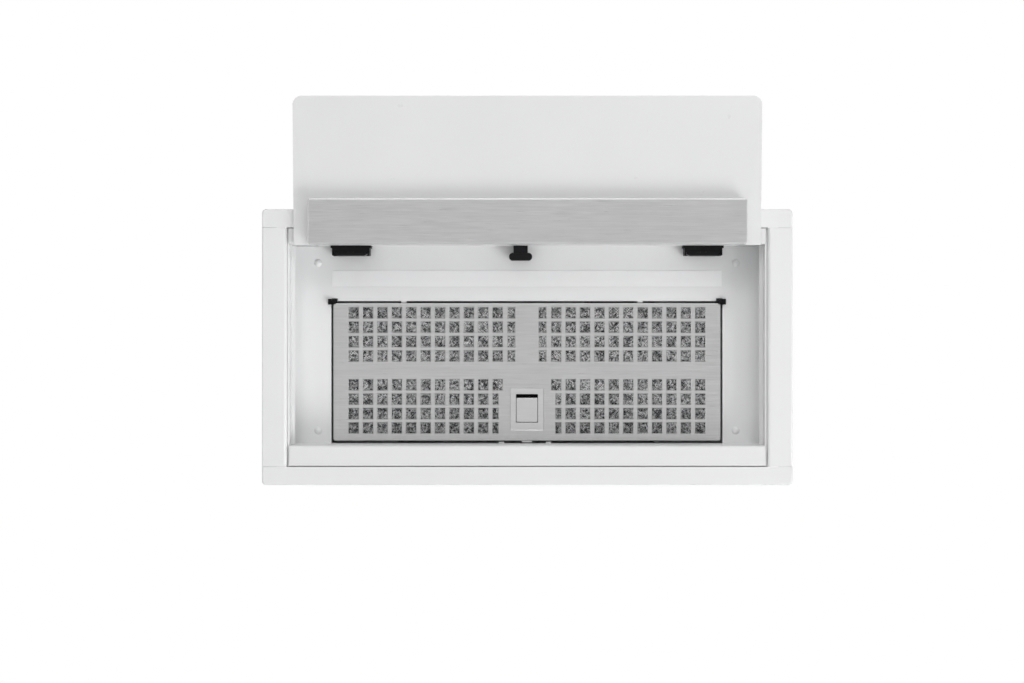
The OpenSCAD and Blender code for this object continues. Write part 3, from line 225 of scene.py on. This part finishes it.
def plated(name, colour, roughness=0.3, swing=0.06):
    """Plated or ground metal: bright, with faint clouds and fine marks."""
    look = Look(name, colour, roughness, 1.0)
    look.paint(look.tint(look.noise(130, 4), swing))
    look.gloss(look.noise(420, 3), roughness - 0.07, roughness + 0.1)
    look.bump(look.noise(900, 3), 0.00003, 0.3)
    return look.material


def woven_wire(name, colour):
    """Wire of the grease mesh: random patches along the strands painted from near black to near white, as
    painted shade and painted highlight among the woven layers.
    """
    # Painted shade (near black) and painted highlight (near white) on the wire
    dull = (0.06, 0.06, 0.062)
    bright = (0.95, 0.95, 0.96)
    look = Look(name, colour, 0.4, 1.0)
    painted_light_and_shade_patches = look.cells(480)
    shade = look.add("ShaderNodeRGBToBW")
    look.link(painted_light_and_shade_patches, shade.inputs["Color"])
    # Painted light and shade in random patches along the wires
    look.paint(look.ramp(shade.outputs["Val"], dull, bright, 0.32, 0.68))
    look.gloss(look.noise(700, 2), 0.32, 0.5)
    look.bump(look.noise(1800, 2), 0.00004, 0.4)
    return look.material


def moulded(name, colour, roughness=0.48, grain=1500, depth=0.00005, swing=0.08, shine=0.5):
    """Moulded plastic: fine spark-eroded grain and slightly uneven gloss."""
    look = Look(name, colour, roughness)
    look.shader.inputs["Specular IOR Level"].default_value = shine
    look.paint(look.tint(look.noise(70, 4), swing))
    look.gloss(look.noise(260, 3), roughness - 0.08, roughness + 0.08)
    look.bump(look.noise(grain, 2), depth, 0.4)
    return look.material


def coated_casting(name, colour):
    """Painted casting: pebbled surface under a satin coat."""
    look = Look(name, colour, 0.45, 0.2)
    look.paint(look.tint(look.noise(90, 4), 0.1))
    look.gloss(look.noise(200, 3), 0.38, 0.56)
    look.bump(look.noise(650, 4, 0.6), 0.00018, 0.5)
    return look.material


def frosted(name, colour):
    """Frosted light cover: even white with the fine ripple of its prisms."""
    look = Look(name, colour, 0.42)
    look.paint(look.tint(look.noise(30, 3), 0.008))
    look.gloss(look.noise(300, 2), 0.36, 0.5)
    look.bump(look.noise(1, 1, 0.4, (60, 900, 60)), 0.00004, 0.25)
    look.shader.inputs["Subsurface Weight"].default_value = 0.08
    look.shader.inputs["Subsurface Scale"].default_value = 0.002
    return look.material


def circuit_board(name, colour):
    """White board: solder mask with faint copper areas under it."""
    copper_tint = (0.78, 0.77, 0.66)
    look = Look(name, colour, 0.35)
    areas = look.cells(160, "SMOOTH_F1", "Distance")
    mask = look.tint(look.noise(50, 3), 0.03)
    look.paint(look.mix(mask, copper_tint, look.spread(areas, 0.0, 0.6)))
    look.gloss(look.noise(500, 2), 0.28, 0.42)
    look.bump(areas, 0.00003, 0.3)
    return look.material


MAKERS = {
    "white_enamel": lambda n: enamel(n, (0.8, 0.803, 0.805)),
    "tray_enamel": lambda n: enamel(n, (0.78, 0.783, 0.785), 0.4),
    "guide_enamel": lambda n: enamel(n, (0.78, 0.783, 0.785), 0.4),
    "visor_enamel": lambda n: enamel(n, (0.76, 0.763, 0.765), 0.32),
    "screw_caps": lambda n: enamel(n, (0.78, 0.783, 0.785), 0.3),
    "brushed_steel": lambda n: brushed(n, (0.58, 0.58, 0.58)),
    "latch_steel": lambda n: brushed(n, (0.64, 0.64, 0.64), 0.36, 0.05),
    # Brushed steel for the latch case, with painted shade (black) on its upper part
    "latch_case_steel_painted_shade": lambda n: brushed(n, (0.64, 0.64, 0.64), 0.36, 0.05, painted_shade_from=LATCH_PAINTED_SHADE_FROM),
    "latch_spring_wire": lambda n: plated(n, (0.02, 0.02, 0.021), 0.5),
    "wire_mesh": lambda n: woven_wire(n, (0.6, 0.6, 0.61)),
    "diffuser": lambda n: frosted(n, (0.87, 0.873, 0.875)),
    "circuit_board": lambda n: circuit_board(n, (0.82, 0.84, 0.8)),
    "black_plastic": lambda n: moulded(n, (0.006, 0.006, 0.0065), 0.42, shine=0.12),
    "rocker_plastic": lambda n: moulded(n, (0.008, 0.008, 0.009), 0.34, 1100, 0.00003, shine=0.16),
    "zinc_sheet": lambda n: plated(n, (0.66, 0.68, 0.69), 0.32),
    "galvanised_sheet": lambda n: galvanised(n, (0.48, 0.505, 0.52)),
    "screw_steel": lambda n: plated(n, (0.68, 0.69, 0.7), 0.24),
    "ground_steel": lambda n: plated(n, (0.72, 0.72, 0.73), 0.18, 0.03),
    "blower_plastic": lambda n: moulded(n, (0.36, 0.38, 0.39), 0.5, 700, 0.0001),
    "impeller_plastic": lambda n: moulded(n, (0.1, 0.105, 0.11), 0.44),
    "motor_casting": lambda n: coated_casting(n, (0.26, 0.28, 0.29)),
    "bush_rubber": lambda n: moulded(n, (0.02, 0.02, 0.02), 0.7, 900, 0.00006),
    "capacitor_can": lambda n: moulded(n, (0.78, 0.78, 0.76), 0.3, 500, 0.00003, 0.02),
    "collar_plastic": lambda n: moulded(n, (0.13, 0.135, 0.14), 0.45, 900),
    "damper_plastic": lambda n: moulded(n, (0.24, 0.25, 0.255), 0.5, 900),
    "box_plastic": lambda n: moulded(n, (0.05, 0.052, 0.055), 0.5, 1000, 0.00007),
    "terminal_plastic": lambda n: moulded(n, (0.72, 0.72, 0.68), 0.4, 900, 0.00004, 0.03),
}

# Painted shade: the latch case is painted black from this height on, so that its slot looks to have depth
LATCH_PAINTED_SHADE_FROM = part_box("latch_case")[0].z + 1.8 * MM

materials = {name: make(name) for name, make in MAKERS.items()}
for part in frame["record"]["subparts"]:
    mesh = nodes[part["node"]].data
    mesh.materials.clear()
    mesh.materials.append(materials[part["material_slot"]])
# The latch case takes the steel with painted shade on its upper part
nodes["latch_case"].data.materials[0] = materials["latch_case_steel_painted_shade"]
nodes["latch_spring"].data.materials[0] = materials["latch_spring_wire"]


# Softened edges

def soften(node, width, segments=2, clamp=True):
    """Rounds the sharp edges of a CAD node in its display, by this many millimetres."""
    piece = nodes[node]
    weld = piece.modifiers.new("weld", "WELD")
    weld.merge_threshold = WELD_GAP
    bevel = piece.modifiers.new("edges", "BEVEL")
    bevel.width = width * MM
    bevel.segments = segments
    bevel.limit_method = "ANGLE"
    bevel.angle_limit = math.radians(SHARP_ANGLE)
    bevel.miter_outer = "MITER_ARC"
    bevel.use_clamp_overlap = clamp
    bevel.harden_normals = True


EDGE_MM = {
    "trim_front_rail": 0.35, "trim_rear_rail": 0.35, "trim_left_band": 0.35, "trim_right_band": 0.35,
    "guide_left": 0.2, "guide_right": 0.2,
    "visor_panel": 0.5, "visor_arm_left": 0.25, "visor_arm_right": 0.25,
    "lamp_switch_case": 0.3, "fan_switch_case": 0.3,
    "lamp_switch_rocker": 0.4, "fan_switch_rocker": 0.4, "speed_knob": 0.5,
    "filter_frame": 0.3, "filter_lugs": 0.3, "filter_hooks": 0.3,
    "lower_casing": 0.4, "upper_casing": 0.4, "casing_lid": 0.4, "cabinet_brackets": 0.3,
    "duct_collar": 0.4, "damper_front": 0.25, "damper_rear": 0.25,
    "terminal_box": 0.5, "terminal_cover": 0.5, "cable_gland": 0.4,
    "blower_left": 0.5, "blower_right": 0.5, "motor": 0.5, "motor_bracket": 0.3,
    "capacitor": 0.6, "capacitor_clip": 0.3, "casing_screws": 0.25, "bracket_screws": 0.25,
    "frame_screws": 0.25, "lamp_housing": 0.3,
}
for name, width in EDGE_MM.items():
    soften(name, width)
soften("latch_case", 0.5, segments=1, clamp=False)
soften("latch_button", 0.8, segments=1, clamp=False)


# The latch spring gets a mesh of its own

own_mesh(nodes["latch_spring"])


# Filter plate: the sheet of the CAD node with the lower rims of its holes rolled inwards

def rolled_plate():
    """The plate as a new piece; its outer edges and folds stay sharp."""
    source = nodes["filter_plate"].data
    low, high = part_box("filter_plate")
    fold = 3 * MM
    roll = 0.74 * MM
    shell = bmesh.new()
    corners = [shell.verts.new(vertex.co) for vertex in source.vertices]
    for face in source.polygons:
        shell.faces.new([corners[n] for n in face.vertices])
    bmesh.ops.remove_doubles(shell, verts=shell.verts, dist=WELD_GAP)
    bmesh.ops.dissolve_limit(shell, angle_limit=0.01, verts=shell.verts, edges=shell.edges)

    def hole_rim(edge):
        spots = [vertex.co for vertex in edge.verts]
        lowest = all(spot.z < low.z + WELD_GAP for spot in spots)
        clear_x = all(low.x + fold < spot.x < high.x - fold for spot in spots)
        clear_y = all(low.y + fold < spot.y < high.y - fold for spot in spots)
        return lowest and clear_x and clear_y and len(edge.link_faces) == 2 and edge.calc_face_angle() > 1

    rims = [edge for edge in shell.edges if hole_rim(edge)]
    bmesh.ops.bevel(shell, geom=rims, offset=roll, segments=1, profile=0.5, affect="EDGES",
                    clamp_overlap=False)
    bmesh.ops.triangulate(shell, faces=[face for face in shell.faces if len(face.verts) > 4])
    mesh = bpy.data.meshes.new("rolled_plate")
    shell.to_mesh(mesh)
    shell.free()
    mesh.materials.append(materials["brushed_steel"])
    mesh.shade_smooth()
    mesh.set_sharp_from_angle(angle=math.radians(SHARP_ANGLE))
    made = bpy.data.objects.new("rolled_plate", mesh)
    bpy.context.scene.collection.objects.link(made)
    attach(made, "filter")
    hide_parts("filter_plate")


rolled_plate()


# Grease mesh: layers of woven wire between the perforated plate and the bars of the cassette

def crossing_wires(area, hole, pitch, angle, radius, wave, z):
    """One woven layer as points and faces: wires of three sides that pass over and under each other.

    area and hole are (x0, y0, x1, y1); no wire runs outside the area or inside the hole.
    """
    points = []
    faces = []
    middle = Vector(((area[0] + area[2]) / 2, (area[1] + area[3]) / 2))
    reach = int(math.hypot(area[2] - area[0], area[3] - area[1]) / 2 / pitch) + 1

    def inside(spot):
        in_area = area[0] <= spot.x <= area[2] and area[1] <= spot.y <= area[3]
        in_hole = hole[0] <= spot.x <= hole[2] and hole[1] <= spot.y <= hole[3]
        return in_area and not in_hole

    def wire(spots, side):
        start = len(points)
        for spot, height in spots:
            for turn in (math.pi / 2, math.pi * 7 / 6, math.pi * 11 / 6):
                across = side * (radius * math.cos(turn))
                points.append((spot.x + across.x, spot.y + across.y, height + radius * math.sin(turn)))
        for n in range(len(spots) - 1):
            for k in range(3):
                a = start + 3 * n + k
                b = start + 3 * n + (k + 1) % 3
                faces.append((a, b, b + 3, a + 3))
        last = start + 3 * (len(spots) - 1)
        faces.append((start, start + 2, start + 1))
        faces.append((last, last + 1, last + 2))

    for family in (0, 1):
        heading = angle + family * math.pi / 2
        along = Vector((math.cos(heading), math.sin(heading)))
        side = Vector((-along.y, along.x))
        for row in range(-reach, reach + 1):
            spots = []
            for step in range(-reach, reach + 1):
                spot = middle + side * (row * pitch) + along * (step * pitch)
                if inside(spot):
                    up = wave if (row + step + family) % 2 == 0 else -wave
                    spots.append((spot, z + up))
                elif len(spots) > 1:
                    wire(spots, side)
                    spots = []
                else:
                    spots = []
            if len(spots) > 1:
                wire(spots, side)
    return points, faces


def woven_mesh():
    """The layers of the grease filter's mesh, as one object."""
    low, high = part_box("filter_mesh")
    latch_low, latch_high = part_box("latch_case")
    hole = (latch_low[0], latch_low[1], latch_high[0], latch_high[1])
    front_layer = {"pitch": 2.3 * MM, "angle": math.radians(41), "radius": 0.33 * MM, "wave": 0.17 * MM}
    rear_layer = {"pitch": 3.0 * MM, "angle": math.radians(57), "radius": 0.42 * MM, "wave": 0.3 * MM}
    points = []
    faces = []
    layers = ((front_layer, 1.5 * MM, 0.5 * MM), (rear_layer, 9 * MM, 2.2 * MM))
    for layer, inset, height in layers:
        area = (low[0] + inset, low[1] + inset, high[0] - inset, high[1] - inset)
        more, rims = crossing_wires(area, hole, z=low[2] + height, **layer)
        faces += [tuple(n + len(points) for n in rim) for rim in rims]
        points += more
    mesh = bpy.data.meshes.new("grease_mesh")
    mesh.from_pydata(points, [], faces)
    mesh.materials.append(materials["wire_mesh"])
    mesh.shade_smooth()
    made = bpy.data.objects.new("grease_mesh", mesh)
    bpy.context.scene.collection.objects.link(made)
    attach(made, "filter")
    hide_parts("filter_mesh")


woven_mesh()


# Camera, lights and floor

def look_towards(thing, target):
    """Turns a light so that it shines at a point."""
    direction = Vector(target) - thing.location
    thing.rotation_euler = direction.to_track_quat("-Z", "Y").to_euler()


def soft_light(name, place, target, size, power):
    lamp = bpy.data.lights.new(name, "AREA")
    lamp.shape = "DISK"
    lamp.size = size
    lamp.energy = power
    made = bpy.data.objects.new(name, lamp)
    bpy.context.scene.collection.objects.link(made)
    made.location = place
    look_towards(made, target)


CAMERA_X, CAMERA_Y = -0.01723, -0.00636
FRAME_PLANE = -0.008
CAMERA_GAP = 1.8996
FOCAL = 59.3
SENSOR_WIDTH = 36
NEAR_CLIP = 0.01
FAR_CLIP = 50

camera_data = bpy.data.cameras.new("camera")
camera_data.lens = FOCAL
camera_data.sensor_width = SENSOR_WIDTH
camera_data.clip_start = NEAR_CLIP
camera_data.clip_end = FAR_CLIP
camera = bpy.data.objects.new("camera", camera_data)
bpy.context.scene.collection.objects.link(camera)
camera.location = (CAMERA_X, CAMERA_Y, FRAME_PLANE - CAMERA_GAP)
camera.rotation_euler = (math.pi, 0, 0)
bpy.context.scene.camera = camera

HOOD_MIDDLE = (0, 0, 0)
CASING_MIDDLE = (0, 0, 0.1)

# Name, place, point that it shines at, width in metres and power in watts
LAMPS = (
    ("key", (2.4, 2.2, -2.7), HOOD_MIDDLE, 3.0, 144),
    ("near", (-0.6, 1.3, -2.85), HOOD_MIDDLE, 1.8, 11),
    ("room", (0.1, -1.9, -2.8), HOOD_MIDDLE, 3.0, 72),
    ("rear_low", (0.5, 4.0, -0.9), HOOD_MIDDLE, 2.6, 16),
    ("right_low", (4.0, 0.5, -0.9), HOOD_MIDDLE, 2.6, 13),
    ("left_low", (-4.0, 0.3, -0.9), HOOD_MIDDLE, 2.6, 18),
    ("front_low", (0.2, -4.2, -0.9), HOOD_MIDDLE, 2.6, 10),
    ("top", (0.8, -1.4, 2.4), CASING_MIDDLE, 2.4, 30),
)
for lamp_row in LAMPS:
    soft_light(*lamp_row)

FLOOR_Z = -2.9
FLOOR_SIZE = 64
FLOOR_GLOW = 0.95
GLOW_SHARE = 0.5
WORLD_LIGHT = 0.3


def seen_directly(tree):
    """A value of 1 for rays from the camera, in gloss and through clear pieces, and 0 for all others."""
    path = tree.nodes.new("ShaderNodeLightPath")
    seen = path.outputs["Is Camera Ray"]
    for ray in ("Is Glossy Ray", "Is Transmission Ray"):
        either = tree.nodes.new("ShaderNodeMath")
        either.operation = "MAXIMUM"
        tree.links.new(seen, either.inputs[0])
        tree.links.new(path.outputs[ray], either.inputs[1])
        seen = either.outputs[0]
    return seen


def floor_material():
    """Pale floor; the camera, gloss and clear pieces see it lighter than the light it gives."""
    look = Look("floor", (0.8, 0.8, 0.8), 0.8)
    look.paint(look.tint(look.noise(3, 2), 0.01))
    tree = look.tree
    glow = look.add("ShaderNodeEmission")
    glow.inputs["Color"].default_value = (1, 1, 1, 1)
    glow.inputs["Strength"].default_value = FLOOR_GLOW
    dim = look.add("ShaderNodeMath", operation="MULTIPLY")
    dim.inputs[1].default_value = GLOW_SHARE
    look.link(seen_directly(tree), dim.inputs[0])
    blend = look.add("ShaderNodeMixShader")
    look.link(dim.outputs[0], blend.inputs["Fac"])
    look.link(look.shader.outputs["BSDF"], blend.inputs[1])
    look.link(glow.outputs["Emission"], blend.inputs[2])
    out = next(n for n in tree.nodes if n.type == "OUTPUT_MATERIAL")
    look.link(blend.outputs["Shader"], out.inputs["Surface"])
    return look.material


bpy.ops.mesh.primitive_plane_add(size=FLOOR_SIZE, location=(0, 0, FLOOR_Z))
floor = bpy.context.object
floor.name = "floor"
floor.data.materials.append(floor_material())


def white_world(strength):
    """A white world: as bright as paper where it is seen, softer where it lights the object."""
    world = bpy.data.worlds.new("studio")
    bpy.context.scene.world = world
    world.use_nodes = True
    tree = world.node_tree
    tree.nodes.clear()
    bright = tree.nodes.new("ShaderNodeMapRange")
    bright.inputs["To Min"].default_value = strength
    bright.inputs["To Max"].default_value = 1.0
    tree.links.new(seen_directly(tree), bright.inputs["Value"])
    back = tree.nodes.new("ShaderNodeBackground")
    back.inputs["Color"].default_value = (1, 1, 1, 1)
    tree.links.new(bright.outputs["Result"], back.inputs["Strength"])
    out = tree.nodes.new("ShaderNodeOutputWorld")
    tree.links.new(back.outputs["Background"], out.inputs["Surface"])


white_world(WORLD_LIGHT)
bpy.context.scene.view_settings.view_transform = "Standard"
